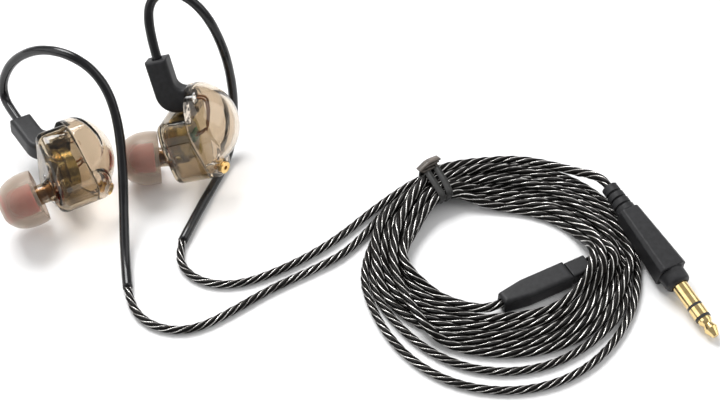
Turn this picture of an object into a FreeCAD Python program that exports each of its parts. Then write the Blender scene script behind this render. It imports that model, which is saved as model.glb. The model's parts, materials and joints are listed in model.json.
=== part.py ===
import FreeCAD, Part
import math
import os

from FreeCAD import Matrix, Vector

# Wired in-ear monitors with over-ear hooks, lying on a desk with the cable coiled and tied.
# Millimetres, +Z up. Each earpiece is modelled in its own local frame:
# X fore and aft, Y up towards the cable boot, Z out of the faceplate, with Z = 0 on the seam.
# The two earpieces are mirror images in local X, and each is then laid in its place on the desk.

# ---- Driving dimensions ----------------------------------------------------------------------
WALL = 1.1                     # shell wall
LOBE_R, LOBE_Y = 8.6, 2.6      # large lobe of the faceplate outline
TOE_R, TOE_Y = 4.0, -7.8       # small lobe of the faceplate outline
DOME_R, DOME_Y, DOME_Z = 10.2, 1.4, -0.8               # ball that domes the faceplate
TOE_DOME_R, TOE_DOME_Z = 4.2, 0.4                      # ball that domes the toe
BODY_TOP = 5.6                 # top of the inner shell, under the boot
BODY_DEEP = 7.2                # depth of the inner shell at its top
BODY_SLOPE = 0.12              # how much deeper it gets for each millimetre down
BODY_ROUND = 1.8               # edge round of the inner shell's end

NOZZLE_AT = Vector(0, -5.0, -7.6)
NOZZLE_LEAN = Vector(-0.30, 0.22, -1.0)                # nozzle direction, back and up from square
NOZZLE_R, NOZZLE_BORE, BARB_R, NOZZLE_END = 2.3, 1.6, 2.5, 10.6
TIP_START, TIP_END, TIP_R = 4.0, 12.8, 6.2             # ear tip along the nozzle axis
CORE_BORE, CORE_R, CORE_START = 2.7, 3.4, 5.0

DRIVER_Y, DRIVER_R = -0.8, 4.95
DRIVER_FRONT, DRIVER_REAR = -5.6, -1.6
VOICE_R, VOICE_WALL = 2.2, 0.25

BOOT_HALF = 2.3                # the boot is 4.6 mm thick
BOOT_NEAR, BOOT_FAR = -2.1, -7.3
BOOT_END = 18.8                # local height of the boot's upper end
SLEEVE_R, SLEEVE_GRIP = 1.1, 5.0
WIRE_R = 0.3                   # memory wire inside the sleeve

ARM_R, LEAD_R = 0.9, 1.05      # cable arms and main lead
PIN_R = 1.75                   # 3.5 mm stereo plug

SEAT_WALL, SEAT_DEEP = 0.6, 1.6                        # ring that the driver sits in
FLARE_R, FLARE_END, BARB_START = 3.6, 1.9, 8.6         # nozzle foot and barb
MESH_R, MESH_SINK, MESH_THICK = 1.9, 0.5, 0.25
BEAD_R, BEAD_HOLE, BEAD_SINK, BEAD_THICK = 0.75, 0.3, 0.5, 0.7   # pressure vent bead
VENT_R, VENT_BORE, VENT_DEEP = 1.4, 0.5, 2.6           # brass vent in the toe of the faceplate
VENT_AXIS = Vector(-0.5, -0.35, 0.8)
TONGUE_X, TONGUE_LOW, TONGUE_HIGH = 1.6, 6.8, 9.4      # boot tongue through the faceplate's back
TIP_MOUTH, TIP_CLEAR, CORE_END, SKIN = 2.0, 0.3, 12.2, 0.55
YOKE_R, MAGNET_R = 3.4, 1.85
INNER_WIRE_R = 0.25
HOOK_LEAD = 6.0                                        # straight start of the hook past the boot

COIL_AT = Vector(30.4, -18.4, 0)
COIL_OUT, COIL_IN = (31.0, 29.5), (20.3, 15.6)
COIL_HIGH, COIL_ROUND = 8.5, 2.0
LOOSE_AT = Vector(29.9, -22.3, 0)                      # two loose turns that fan out in front
LOOSE_OUT, LOOSE_IN, LOOSE_HIGH = (31.2, 32.6), (26.5, 27.5), 2.3
TIE_ANGLE = 120
TIE_SPAN, TIE_HIGH, TIE_WIDE, TIE_THICK = 13.5, 9.0, 3.0, 0.8

SPLIT_AT, SPLIT_TO = Vector(30.6, -31.0, 2.35), Vector(45.6, -23.2, 2.35)
SPLIT_NARROW, SPLIT_WIDE, SPLIT_HIGH, SPLIT_LONG, SPLIT_TAPER = 3.2, 5.0, 4.4, 17.0, 6.0
SLIDER_WIDE, SLIDER_HIGH, SLIDER_LONG, SLIDER_GAP, SLIDER_PLAY = 4.4, 3.2, 5.0, 0.2, 0.08
SLIDER_TRAVEL = 3.0
ARM_GAP, ARM_STUB, LEAD_GRIP = 1.05, 14.0, 5.0
LEAD_START = (19.0, -34.8, 2.8)                        # where the main lead enters the coil
LEAD_END = [(53.3, 4.0, 7.3), (47.5, 8.7, 7.1), (40.5, 10.0, 6.7), (34.0, 8.9, 6.2)]
POCKET = 0.4                                           # room round what lies in the coil

PLUG_TIP, PLUG_TAIL = Vector(75.9, -39.2, 1.75), Vector(56.3, -1.2, 7.0)
PIN_LONG, COLLAR_R = 14.0, 2.4
NOSE_LONG, NOSE_R = 2.2, 2.8
HANDLE_LONG, HANDLE_WIDE, HANDLE_NARROW, HANDLE_BEVEL = 17.5, 6.6, 4.8, 0.28
RELIEF_LONG, RELIEF_WIDE, RELIEF_NARROW = 7.5, 2.3, 1.9

# Everything is laid out on the desk and then moved so that the origin is at the middle of the
# earpieces' footprint.
FOOTPRINT = Vector(-56.460, -0.091, 0)

# ---- Where the pieces lie on the desk --------------------------------------------------------
EAR = {
    "right": dict(at=Vector(-36.6, 9.8, 13.35), up=Vector(-0.244, 0.425, 0.872),
                  out=Vector(0.961, -0.019, 0.278), mirror=False),
    "left": dict(at=Vector(-65.0, 3.3, 9.22), up=Vector(-0.574, 0.818, -0.030),
                 out=Vector(0.814, 0.567, -0.129), mirror=True),
}
HOOK = {
    "right": [(-46.8, 24.8, 40.5), (-40.5, 25.0, 42.5), (-34.5, 23.5, 37.5), (-31.0, 22.0, 28.0),
              (-29.8, 21.5, 18.0), (-29.7, 19.8, 9.0), (-30.6, 15.0, 2.6), (-32.2, 9.4, 1.15),
              (-34.4, 3.2, 1.1), (-37.2, -4.2, 1.1), (-40.0, -12.8, 1.1)],
    "left": [(-84.6, 23.8, 11.3), (-83.5, 24.1, 16.3), (-80.0, 23.4, 22.5), (-74.4, 21.4, 27.5),
             (-69.0, 18.6, 30.3), (-64.3, 16.6, 30.4), (-59.8, 14.5, 28.4), (-56.2, 11.3, 24.3),
             (-54.2, 6.3, 18.2), (-53.5, -0.6, 11.4), (-53.3, -7.5, 5.6), (-52.4, -18.5, 1.1),
             (-51.0, -26.0, 1.1)],
}
ARM = {
    "right": [(-40.0, -12.8, 1.1), (-41.042, -16.0, 1.1), (-39.6, -20.8, 1.0), (-34.8, -24.6, 0.9),
              (-27.0, -25.3, 0.9), (-18.0, -21.2, 0.9), (-9.5, -15.8, 0.95), (-2.5, -9.8, 1.1),
              (3.5, -5.6, 1.3)],
    "left": [(-51.0, -26.0, 1.1), (-50.44, -29.0, 1.1), (-48.3, -33.4, 1.0), (-43.4, -36.9, 0.9),
             (-36.0, -37.4, 0.9), (-28.3, -32.6, 0.9), (-20.0, -26.2, 0.9), (-10.5, -21.0, 0.95),
             (-2.5, -15.8, 1.1), (4.0, -11.8, 1.3)],
}


def unit(v):
    return Vector(v).normalize()


def face_of(edges):
    return Part.Face(Part.Wire(edges))


def line(a, b):
    return Part.makeLine(Vector(*a), Vector(*b))


def arc(a, mid, b):
    return Part.Arc(Vector(*a), Vector(*mid), Vector(*b)).toShape()


def prism(face, z0, z1):
    solid = face.extrude(Vector(0, 0, z1 - z0))
    solid.translate(Vector(0, 0, z0))
    return solid


def box(x0, x1, y0, y1, z0, z1):
    return Part.makeBox(x1 - x0, y1 - y0, z1 - z0, Vector(x0, y0, z0))


def frame(at, z_axis, y_hint):
    """Matrix taking local coordinates to a frame at a point."""
    z = unit(z_axis)
    y = Vector(y_hint)
    y = unit(y - z * y.dot(z))
    x = y.cross(z)
    return Matrix(x.x, y.x, z.x, at.x, x.y, y.y, z.y, at.y, x.z, y.z, z.z, at.z, 0, 0, 0, 1)


def placed(shape, matrix):
    copy = shape.copy()
    copy.Placement = FreeCAD.Placement(matrix).multiply(copy.Placement)
    return copy


def turned(profile):
    """Solid of revolution about Z from an open or closed list of (radius, height) corners and arcs."""
    edges = []
    count = len(profile)
    points = [p for p in profile if len(p) == 2]
    start = points[0]
    here = start
    index = 1
    while index < count:
        item = profile[index]
        if len(item) == 3:
            after = profile[index + 1] if index + 1 < count else start
            edges.append(arc((here[0], 0, here[1]), (item[0], 0, item[1]), (after[0], 0, after[1])))
            here = after
            index += 2
        else:
            edges.append(line((here[0], 0, here[1]), (item[0], 0, item[1])))
            here = item
            index += 1
    if here != start:
        edges.append(line((here[0], 0, here[1]), (start[0], 0, start[1])))
    return face_of(edges).revolve(Vector(0, 0, 0), Vector(0, 0, 1), 360)


def ring(r0, r1, z0, z1):
    outer = Part.makeCylinder(r1, z1 - z0, Vector(0, 0, z0))
    if r0 <= 0:
        return outer
    return outer.cut(Part.makeCylinder(r0, z1 - z0 + 2, Vector(0, 0, z0 - 1)))


def lifted(shape, x=0, y=0, z=0):
    copy = shape.copy()
    copy.translate(Vector(x, y, z))
    return copy


# ---- Earpiece shells (local frame) -----------------------------------------------------------
def teardrop(inset):
    big, small = LOBE_R - inset, TOE_R - inset
    rise = (LOBE_R - TOE_R) / (LOBE_Y - TOE_Y)
    side = math.sqrt(1 - rise * rise)
    b = (big * side, LOBE_Y - big * rise)
    s = (small * side, TOE_Y - small * rise)
    return face_of([
        arc((b[0], b[1], 0), (0, LOBE_Y + big, 0), (-b[0], b[1], 0)),
        line((-b[0], b[1], 0), (-s[0], s[1], 0)),
        arc((-s[0], s[1], 0), (0, TOE_Y - small, 0), (s[0], s[1], 0)),
        line((s[0], s[1], 0), (b[0], b[1], 0)),
    ])


def dome(inset, floor):
    """Faceplate filled solid: a big ball over the lobe and a small one over the toe."""
    balls = []
    for radius, y, z in ((DOME_R - inset, DOME_Y, DOME_Z), (TOE_DOME_R - inset, TOE_Y, TOE_DOME_Z)):
        balls.append(Part.makeSphere(radius, Vector(0, y, z)))
        if z > floor:
            balls.append(Part.makeCylinder(radius, z - floor, Vector(0, y, floor)))
    return balls[0].fuse(balls[1:]).common(prism(teardrop(inset), floor, 12))


def inner_block(inset):
    """Body of the inner shell, from the seam to its rounded, sloping end."""
    top = BODY_TOP - inset
    bottom = TOE_Y - TOE_R - 1
    near = -BODY_DEEP + inset
    far = near - (top - bottom) * BODY_SLOPE
    corners = [(0, top, 0), (0, bottom, 0), (0, bottom, far), (0, top, near)]
    side = face_of([line(a, b) for a, b in zip(corners, corners[1:] + corners[:1])])
    wedge = side.extrude(Vector(30, 0, 0))
    wedge.translate(Vector(-15, 0, 0))
    block = prism(teardrop(inset), -14, 0).common(wedge).Solids[0]
    soft = []
    for edge in block.Edges:
        a = edge.valueAt(edge.FirstParameter)
        b = edge.valueAt(edge.LastParameter)
        at_end = max(a.z, b.z) < near / 2
        corner = abs(a.x - b.x) < 1e-6 and abs(a.y - top) < 1e-6 and abs(b.y - top) < 1e-6
        if at_end or corner:
            soft.append(edge)
    return block.makeFillet(BODY_ROUND - inset / 2, soft)


def nozzle_frame():
    return frame(NOZZLE_AT, NOZZLE_LEAN, Vector(0, 1, 0))


def outer_shell():
    cavity = dome(WALL, -1)
    back_plate = box(-12, 12, BODY_TOP - WALL, 14, -2, WALL)
    shell = dome(0, 0).cut(cavity.cut(back_plate))
    shell = shell.cut(box(-TONGUE_X, TONGUE_X, TONGUE_LOW, TONGUE_HIGH, -1, WALL + 0.5))
    return shell.cut(vent_place(Part.makeCylinder(VENT_R, VENT_DEEP + 1)))


def vent_place(shape):
    """Put a piece made along Z, bottom at 0, on the brass vent's axis in the toe dome."""
    axis = unit(VENT_AXIS)
    start = Vector(0, TOE_Y, TOE_DOME_Z) + axis * (TOE_DOME_R - VENT_DEEP + 0.2)
    return placed(shape, frame(start, axis, Vector(0, 1, 0)))


def brass_vent():
    body = turned([(VENT_BORE, 0), (VENT_R, 0), (VENT_R, VENT_DEEP), (VENT_BORE, VENT_DEEP)])
    return vent_place(body)


def inner_shell():
    shell = inner_block(0).cut(inner_block(WALL).fuse(prism(teardrop(WALL), -WALL, 1).common(
        box(-12, 12, -14, BODY_TOP - WALL, -WALL - 1, 1))))
    seat = lifted(ring(DRIVER_R, DRIVER_R + SEAT_WALL, -12, DRIVER_FRONT + SEAT_DEEP), y=DRIVER_Y)
    shell = shell.fuse(seat.common(inner_block(WALL / 2)))
    nose = placed(turned([(0, -1.2), (FLARE_R, -1.2), (FLARE_R, 0.2), (NOZZLE_R, FLARE_END),
                          (NOZZLE_R, BARB_START), (BARB_R, BARB_START + 0.3), (BARB_R, NOZZLE_END - 0.9),
                          (NOZZLE_R - 0.1, NOZZLE_END), (0, NOZZLE_END)]), nozzle_frame())
    hollow = inner_block(WALL)
    shell = shell.fuse(nose.cut(hollow))
    bore = Part.makeCylinder(NOZZLE_BORE, NOZZLE_END + 5, Vector(0, 0, -3.5))
    bore = bore.fuse(Part.makeCylinder(MESH_R, 2, Vector(0, 0, NOZZLE_END - MESH_SINK)))
    shell = shell.cut(placed(bore, nozzle_frame()))
    vent = ring(0, BEAD_HOLE, -12, 0).fuse(ring(0, BEAD_R, -12, bead_floor()))
    return shell.cut(lifted(vent, y=DRIVER_Y))


def end_wall(y):
    """Local Z of the inner shell's outer end face at a height."""
    return -BODY_DEEP - (BODY_TOP - y) * BODY_SLOPE


def bead_floor():
    return end_wall(DRIVER_Y) + BEAD_SINK


def pressure_vent():
    bead = ring(BEAD_HOLE, BEAD_R, bead_floor() - BEAD_THICK, bead_floor())
    return lifted(bead, y=DRIVER_Y)


def nozzle_mesh():
    z = NOZZLE_END - MESH_SINK
    return placed(Part.makeCylinder(MESH_R, MESH_THICK, Vector(0, 0, z)), nozzle_frame())


def tip_core():
    core = turned([(CORE_BORE, CORE_START), (CORE_R, CORE_START), (CORE_R, CORE_END),
                   (TIP_MOUTH, CORE_END), (TIP_MOUTH, NOZZLE_END + TIP_CLEAR),
                   (CORE_BORE, NOZZLE_END + TIP_CLEAR)])
    return placed(core, nozzle_frame())


def tip_dome():
    skin = turned([(TIP_R - 0.05, TIP_START), (TIP_R, TIP_START + 1.8),
                   (TIP_R - 0.75, TIP_START + 5.6, 0), (CORE_R + 0.5, TIP_END - 0.5),
                   (TIP_MOUTH + 0.3, TIP_END), (TIP_MOUTH, TIP_END - 0.3), (TIP_MOUTH, CORE_END),
                   (CORE_R, CORE_END), (CORE_R, CORE_END - 0.9),
                   (TIP_R - 1.4, TIP_START + 5.2, 0), (TIP_R - SKIN, TIP_START + 1.8),
                   (TIP_R - SKIN, TIP_START)])
    return placed(skin, nozzle_frame())


# ---- Driver (local frame, on an axis square to the seam) -------------------------------------
def on_driver(shape):
    return lifted(shape, y=DRIVER_Y)


def driver_frame():
    f, r = DRIVER_FRONT, DRIVER_REAR
    return on_driver(turned([(DRIVER_R - 1.0, f), (DRIVER_R, f), (DRIVER_R, r), (YOKE_R, r),
                             (YOKE_R, r - 0.6), (DRIVER_R - 0.6, r - 0.6),
                             (DRIVER_R - 0.6, f + 0.25), (DRIVER_R - 1.0, f + 0.25)]))


def yoke():
    r = DRIVER_REAR
    return on_driver(turned([(0, r), (YOKE_R, r), (YOKE_R, r - 2.2), (YOKE_R - 0.5, r - 2.2),
                             (YOKE_R - 0.5, r - 0.6), (0, r - 0.6)]))


def magnet():
    return on_driver(ring(0, MAGNET_R, DRIVER_REAR - 1.9, DRIVER_REAR - 0.6))


def pole_plate():
    return on_driver(ring(0, MAGNET_R + 0.05, DRIVER_REAR - 2.3, DRIVER_REAR - 1.9))


def diaphragm():
    z = DRIVER_FRONT + 0.75
    film = turned([(0, z - 0.12), (VOICE_R + VOICE_WALL, z), (DRIVER_R - 0.8, z),
                   (DRIVER_R - 0.8, z + 0.12), (VOICE_R + VOICE_WALL, z + 0.12), (0, z)])
    return on_driver(film)


def voice_coil():
    z = DRIVER_FRONT + 0.87
    return on_driver(ring(VOICE_R, VOICE_R + VOICE_WALL, z, z + 1.3))


def driver_board():
    return box(-1.8, 1.8, DRIVER_Y - 1.1, DRIVER_Y + 1.1, DRIVER_REAR, DRIVER_REAR + 0.5)


def tube(points, radius, radii=None):
    """Straight runs joined by tangent arcs as large as the runs allow."""
    points = [Vector(*p) for p in points]
    edges = []
    here = points[0]
    for before, corner, after in zip(points, points[1:], points[2:]):
        way_in = unit(corner - before)
        way_out = unit(after - corner)
        turn = way_in.getAngle(way_out)
        setback = 0.45 * min(corner.distanceToPoint(before), corner.distanceToPoint(after))
        if radii is not None:
            radii.append(setback / math.tan(turn / 2))
        start = corner - way_in * setback
        end = corner + way_out * setback
        bend_r = setback / math.tan(turn / 2)
        centre = corner + unit(way_out - way_in) * (bend_r / math.cos(turn / 2))
        mid = centre + unit(corner - centre) * bend_r
        edges.append(Part.LineSegment(here, start).toShape())
        edges.append(Part.Arc(start, mid, end).toShape())
        here = end
    edges.append(Part.LineSegment(here, points[-1]).toShape())
    path = Part.Wire(edges)
    section = Part.Wire(Part.makeCircle(radius, points[0], points[1] - points[0]))
    return path.makePipeShell([section], True, False), path.Length


def inner_wires():
    """Two enamelled leads from the driver board up into the boot."""
    pair = []
    for x in (-0.8, 0.8):
        route = [(x, DRIVER_Y, DRIVER_REAR + 0.5), (x, DRIVER_Y + 0.6, 1.6), (x, 4.6, 3.4),
                 (x, 7.4, 3.6), (x, 8.0, WALL + 0.5)]
        pair.append(tube(route, INNER_WIRE_R)[0])
    return Part.makeCompound(pair)


# ---- Boot, sleeve and memory wire ------------------------------------------------------------
def boot():
    n, f = BOOT_NEAR, BOOT_FAR
    low, high = BODY_TOP + 0.1, 10.9
    outer = 4.6
    inner = 2.1
    bend = math.sqrt(0.5)
    edges = [
        line((0, low, 0), (0, low, f + outer)),
        arc((0, low, f + outer), (0, low + outer * (1 - bend), f + outer * (1 - bend)),
            (0, low + outer, f)),
        line((0, low + outer, f), (0, BOOT_END, f)),
        line((0, BOOT_END, f), (0, BOOT_END, n)),
        line((0, BOOT_END, n), (0, high + inner, n)),
        arc((0, high + inner, n), (0, high + inner * (1 - bend), n + inner * (1 - bend)),
            (0, high, 0)),
        line((0, high, 0), (0, low, 0)),
    ]
    body = face_of(edges).extrude(Vector(2 * BOOT_HALF, 0, 0))
    body.translate(Vector(-BOOT_HALF, 0, 0))
    soft = [e for e in body.Edges if e.CenterOfMass.z < -0.1 and abs(e.CenterOfMass.x) > BOOT_HALF - 0.1]
    body = body.makeFillet(0.9, soft)
    body = body.fuse(box(-TONGUE_X, TONGUE_X, TONGUE_LOW, TONGUE_HIGH, -0.5, WALL + 0.5))
    middle = (n + f) / 2
    hole = Part.makeCylinder(SLEEVE_R, SLEEVE_GRIP + 1, Vector(0, BOOT_END - SLEEVE_GRIP, middle),
                             Vector(0, 1, 0))
    return body.cut(hole)


def hook_route(side):
    middle = (BOOT_NEAR + BOOT_FAR) / 2
    start = to_desk(side).multVec(Vector(0, BOOT_END - SLEEVE_GRIP, middle))
    lead = to_desk(side).multVec(Vector(0, BOOT_END + HOOK_LEAD, middle))
    return [tuple(start), tuple(lead)] + HOOK[side]


def to_desk(side):
    place = EAR[side]
    return frame(place["at"], place["out"], place["up"])


# ---- Coil, splitter, slider and tie (desk frame) ---------------------------------------------
def oval(centre, a, b, z0, z1):
    if a >= b:
        curve = Part.Ellipse(centre, a, b)
    else:
        curve = Part.Ellipse(centre + Vector(0, b, 0), centre + Vector(a, 0, 0), centre)
    face = face_of([curve.toShape()])
    return prism(face, z0, z1)


def coil_solid():
    c = COIL_AT
    ring_solid = oval(c, COIL_OUT[0], COIL_OUT[1], 0, COIL_HIGH)
    ring_solid = ring_solid.cut(oval(c, COIL_IN[0], COIL_IN[1], -1, COIL_HIGH + 1))
    ring_solid = ring_solid.makeFillet(COIL_ROUND, ring_solid.Edges)
    loose = oval(LOOSE_AT, LOOSE_OUT[0], LOOSE_OUT[1], 0, LOOSE_HIGH)
    loose = loose.cut(oval(LOOSE_AT, LOOSE_IN[0], LOOSE_IN[1], -1, LOOSE_HIGH + 1))
    return ring_solid.fuse(loose)


def coil_pockets():
    """Room for the splitter, the slider's travel and the plug's strain relief."""
    half = SPLIT_WIDE / 2 + POCKET
    end = SPLIT_LONG + SLIDER_GAP + SLIDER_LONG + SLIDER_TRAVEL + POCKET
    split = box(-half, half, -half, half, -POCKET, end)
    tail = PIN_LONG + 1.0 + NOSE_LONG
    around = HANDLE_WIDE * 0.5 + POCKET
    relief = box(-around, around, -around, around, tail, tail + HANDLE_LONG + RELIEF_LONG)
    return [placed(split, along(SPLIT_AT, SPLIT_TO)), placed(relief, plug_frame())]


def along(start, end):
    """Frame at a point with Z towards another point and Y as near up as it goes."""
    return frame(Vector(start), Vector(end) - Vector(start), Vector(0, 0, 1))


def splitter():
    n, w = SPLIT_NARROW / 2, SPLIT_WIDE / 2
    h = SPLIT_HIGH / 2
    corners = [(-n, 0), (n, 0), (w, SPLIT_TAPER), (w, SPLIT_LONG), (-w, SPLIT_LONG), (-w, SPLIT_TAPER)]
    corners = [(x, -h, z) for x, z in corners]
    body = face_of([line(a, b) for a, b in zip(corners, corners[1:] + corners[:1])])
    body = body.extrude(Vector(0, 2 * h, 0))
    body = body.makeFillet(0.8, [e for e in body.Edges if abs(e.CenterOfMass.y) > h - 0.1])
    body = body.cut(Part.makeCylinder(LEAD_R, 5, Vector(0, 0, 0)))
    for x in (-ARM_GAP, ARM_GAP):
        body = body.cut(Part.makeCylinder(ARM_R, 5, Vector(x, 0, SPLIT_LONG - 4)))
    return body


def slider():
    body = box(-SLIDER_WIDE / 2, SLIDER_WIDE / 2, -SLIDER_HIGH / 2, SLIDER_HIGH / 2,
               SPLIT_LONG + SLIDER_GAP, SPLIT_LONG + SLIDER_GAP + SLIDER_LONG)
    body = body.makeFillet(0.6, [e for e in body.Edges if abs(e.CenterOfMass.z - SPLIT_LONG
                                 - SLIDER_GAP - SLIDER_LONG / 2) < 1])
    for x in (-ARM_GAP, ARM_GAP):
        body = body.cut(Part.makeCylinder(ARM_R + SLIDER_PLAY, 40, Vector(x, 0, 0)))
    return body


def split_arms():
    """Start of both arms, from inside the splitter, through the slider, into the coil."""
    stubs = []
    for x in (-ARM_GAP, ARM_GAP):
        stubs.append(Part.makeCylinder(ARM_R, ARM_STUB, Vector(x, 0, SPLIT_LONG - 4)))
    return Part.makeCompound(stubs)


def lead_start_route():
    split = along(SPLIT_AT, SPLIT_TO)
    grip = split.multVec(Vector(0, 0, LEAD_GRIP))
    out = split.multVec(Vector(0, 0, -LEAD_GRIP))
    return [tuple(grip), tuple(out), LEAD_START]


def lead_end_route():
    tail = PIN_LONG + 1.0 + NOSE_LONG + HANDLE_LONG
    grip = plug_frame().multVec(Vector(0, 0, tail - LEAD_GRIP + 1))
    out = plug_frame().multVec(Vector(0, 0, tail + RELIEF_LONG + 2.5))
    return [tuple(grip), tuple(out)] + LEAD_END


def tie_frame():
    angle = math.radians(TIE_ANGLE)
    a = (COIL_OUT[0] + COIL_IN[0]) / 2
    b = (COIL_OUT[1] + COIL_IN[1]) / 2
    at = COIL_AT + Vector(a * math.cos(angle), b * math.sin(angle), 0)
    run = Vector(-a * math.sin(angle), b * math.cos(angle), 0)
    return frame(at, run, Vector(0, 0, 1))


def tie_band():
    half = TIE_SPAN / 2
    outer = box(-half, half, 0, TIE_HIGH, -TIE_WIDE / 2, TIE_WIDE / 2)
    outer = outer.makeFillet(2.0, [e for e in outer.Edges if abs(e.CenterOfMass.z) < 0.1])
    t = TIE_THICK
    hole = box(-half + t, half - t, t, TIE_HIGH - t, -TIE_WIDE, TIE_WIDE)
    hole = hole.makeFillet(1.4, [e for e in hole.Edges if abs(e.CenterOfMass.z) < 0.1])
    return placed(outer.cut(hole), tie_frame())


def tie_tails():
    half = TIE_SPAN / 2
    tails = []
    for spread in (-1, 1):
        route = [(half, TIE_HIGH * 0.62, spread * 0.6), (half + 1.4, TIE_HIGH * 0.8, spread * 0.7),
                 (half + 1.9, TIE_HIGH + 1.0, spread * 1.2)]
        tails.append(tube(route, 0.45)[0])
    return placed(Part.makeCompound(tails), tie_frame())


# ---- Plug (its own axis: Z = 0 at the tip, Z up along the plug towards the cable) -------------
def plug_frame():
    return along(PLUG_TIP, PLUG_TAIL)


def plug_pieces():
    r = PIN_R
    tip = turned([(0, 0), (0.7, 0), (1.55, 1.9), (1.05, 3.1), (r - 0.25, 3.9), (r - 0.25, 4.6), (0, 4.6)])
    rod = Part.makeCylinder(0.4, 14.4, Vector(0, 0, 4.6))
    tip = tip.fuse(rod)
    insulators = [ring(0.4, r, 4.6, 5.2), ring(0.4, r, 7.6, 8.2)]
    ring_contact = ring(0.4, r, 5.2, 7.6)
    sleeve_contact = turned([(0.4, 8.2), (r, 8.2), (r, PIN_LONG), (COLLAR_R, PIN_LONG),
                             (COLLAR_R, PIN_LONG + 1.0), (r, PIN_LONG + 1.0), (r, PIN_LONG + 5),
                             (0.4, PIN_LONG + 5)])
    return {
        "plug_tip_contact": tip,
        "plug_insulators": Part.makeCompound(insulators),
        "plug_ring_contact": ring_contact,
        "plug_sleeve_contact": sleeve_contact,
    }


def plug_handle():
    """Bevelled, tapering moulding with a round nose at the pin."""
    z0 = PIN_LONG + 1.0
    z1 = z0 + NOSE_LONG
    z2 = z1 + HANDLE_LONG
    wires = []
    for z, half in ((z1, HANDLE_WIDE / 2), (z2, HANDLE_NARROW / 2)):
        c = half * HANDLE_BEVEL
        pts = [(half, -half + c, z), (half, half - c, z), (half - c, half, z), (-half + c, half, z),
               (-half, half - c, z), (-half, -half + c, z), (-half + c, -half, z), (half - c, -half, z)]
        wires.append(Part.makePolygon([Vector(*p) for p in pts + pts[:1]]))
    body = Part.makeLoft(wires, True, True)
    nose = turned([(0, z0), (NOSE_R - 0.5, z0), (NOSE_R, z0 + 0.5), (NOSE_R, z1), (0, z1)])
    body = body.fuse(nose)
    core = Part.makeCylinder(PIN_R, 4.0, Vector(0, 0, z0))
    body = body.cut(core)
    body = body.cut(Part.makeCylinder(LEAD_R, 4.0, Vector(0, 0, z2 - 4.0)))
    return body


def plug_relief():
    """Ribbed strain relief: three grooves between four collars."""
    z2 = PIN_LONG + 1.0 + NOSE_LONG + HANDLE_LONG
    profile = [(LEAD_R, z2)]
    pitch = RELIEF_LONG / 4
    for i in range(4):
        r = RELIEF_WIDE - (RELIEF_WIDE - RELIEF_NARROW) * i / 3
        z = z2 + pitch * i
        profile += [(r, z), (r, z + pitch * 0.72)]
        if i < 3:
            profile += [(r - 0.55, z + pitch * 0.72), (r - 0.55, z + pitch)]
    profile += [(RELIEF_NARROW, z2 + RELIEF_LONG), (LEAD_R, z2 + RELIEF_LONG)]
    return turned(profile)


# ---- Assembly --------------------------------------------------------------------------------
LOCAL_PIECES = {
    "faceplate_shell": outer_shell,
    "inner_shell": inner_shell,
    "brass_vent": brass_vent,
    "pressure_vent": pressure_vent,
    "nozzle_mesh": nozzle_mesh,
    "ear_tip_core": tip_core,
    "ear_tip_dome": tip_dome,
    "driver_frame": driver_frame,
    "driver_yoke": yoke,
    "driver_magnet": magnet,
    "driver_pole_plate": pole_plate,
    "diaphragm": diaphragm,
    "voice_coil": voice_coil,
    "driver_board": driver_board,
    "inner_wires": inner_wires,
    "cable_boot": boot,
}


def main():
    os.makedirs("parts", exist_ok=True)
    nodes = {}
    local = {name: make() for name, make in LOCAL_PIECES.items()}
    for side, place in EAR.items():
        desk = to_desk(side)
        for name, shape in local.items():
            piece = shape.mirror(Vector(0, 0, 0), Vector(1, 0, 0)) if place["mirror"] else shape
            nodes[f"{name}_{side}"] = placed(piece, desk)
        route = hook_route(side)
        sleeve, _ = tube(route, SLEEVE_R)
        wire, wire_long = tube(route, WIRE_R)
        nodes[f"hook_sleeve_{side}"] = sleeve.cut(wire)
        nodes[f"memory_wire_{side}"] = wire
        print(side, "hook", round(wire_long, 1))

    cords = {
        "cable_arm_right": (ARM["right"], ARM_R),
        "cable_arm_left": (ARM["left"], ARM_R),
        "main_lead_start": (lead_start_route(), LEAD_R),
        "main_lead_end": (lead_end_route(), LEAD_R),
    }
    for name, (route, radius) in cords.items():
        radii = []
        nodes[name], length = tube(route, radius, radii)
        expected = math.pi * radius ** 2 * length
        print(name, round(length, 1), "volume", round(nodes[name].Volume / expected, 4),
              "radii", [round(r, 1) for r in radii])

    split = along(SPLIT_AT, SPLIT_TO)
    nodes["splitter"] = placed(splitter(), split)
    nodes["chin_slider"] = placed(slider(), split)
    nodes["cable_arm_starts"] = placed(split_arms(), split)
    nodes["tie_band"] = tie_band()
    nodes["tie_tails"] = tie_tails().cut(nodes["tie_band"])

    plug = plug_frame()
    for name, shape in plug_pieces().items():
        nodes[name] = placed(shape, plug)
    nodes["plug_handle"] = placed(plug_handle(), plug)
    nodes["plug_relief"] = placed(plug_relief(), plug)

    coil = coil_solid()
    inside = list(cords) + ["cable_arm_starts", "tie_band", "tie_tails"]
    for tool in coil_pockets() + [nodes[name] for name in inside]:
        coil = coil.cut(tool)
    nodes["cable_coil"] = max(coil.Solids, key=lambda solid: solid.Volume)

    for name, shape in nodes.items():
        shape.translate(-FOOTPRINT)
        shape.exportStep(f"parts/{name}.step")
        lowest = shape.optimalBoundingBox().ZMin
        print(f"{name:24s} {len(shape.Solids)} {shape.isValid()} {shape.Volume:9.2f} z {lowest:.2f}")


if __name__ == "__main__":
    main()
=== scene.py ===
"""Wired in-ear monitors on a pale desk: the looks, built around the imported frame."""
import json
import math

import bmesh
import bpy
import numpy as np
from mathutils import Matrix, Vector

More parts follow.
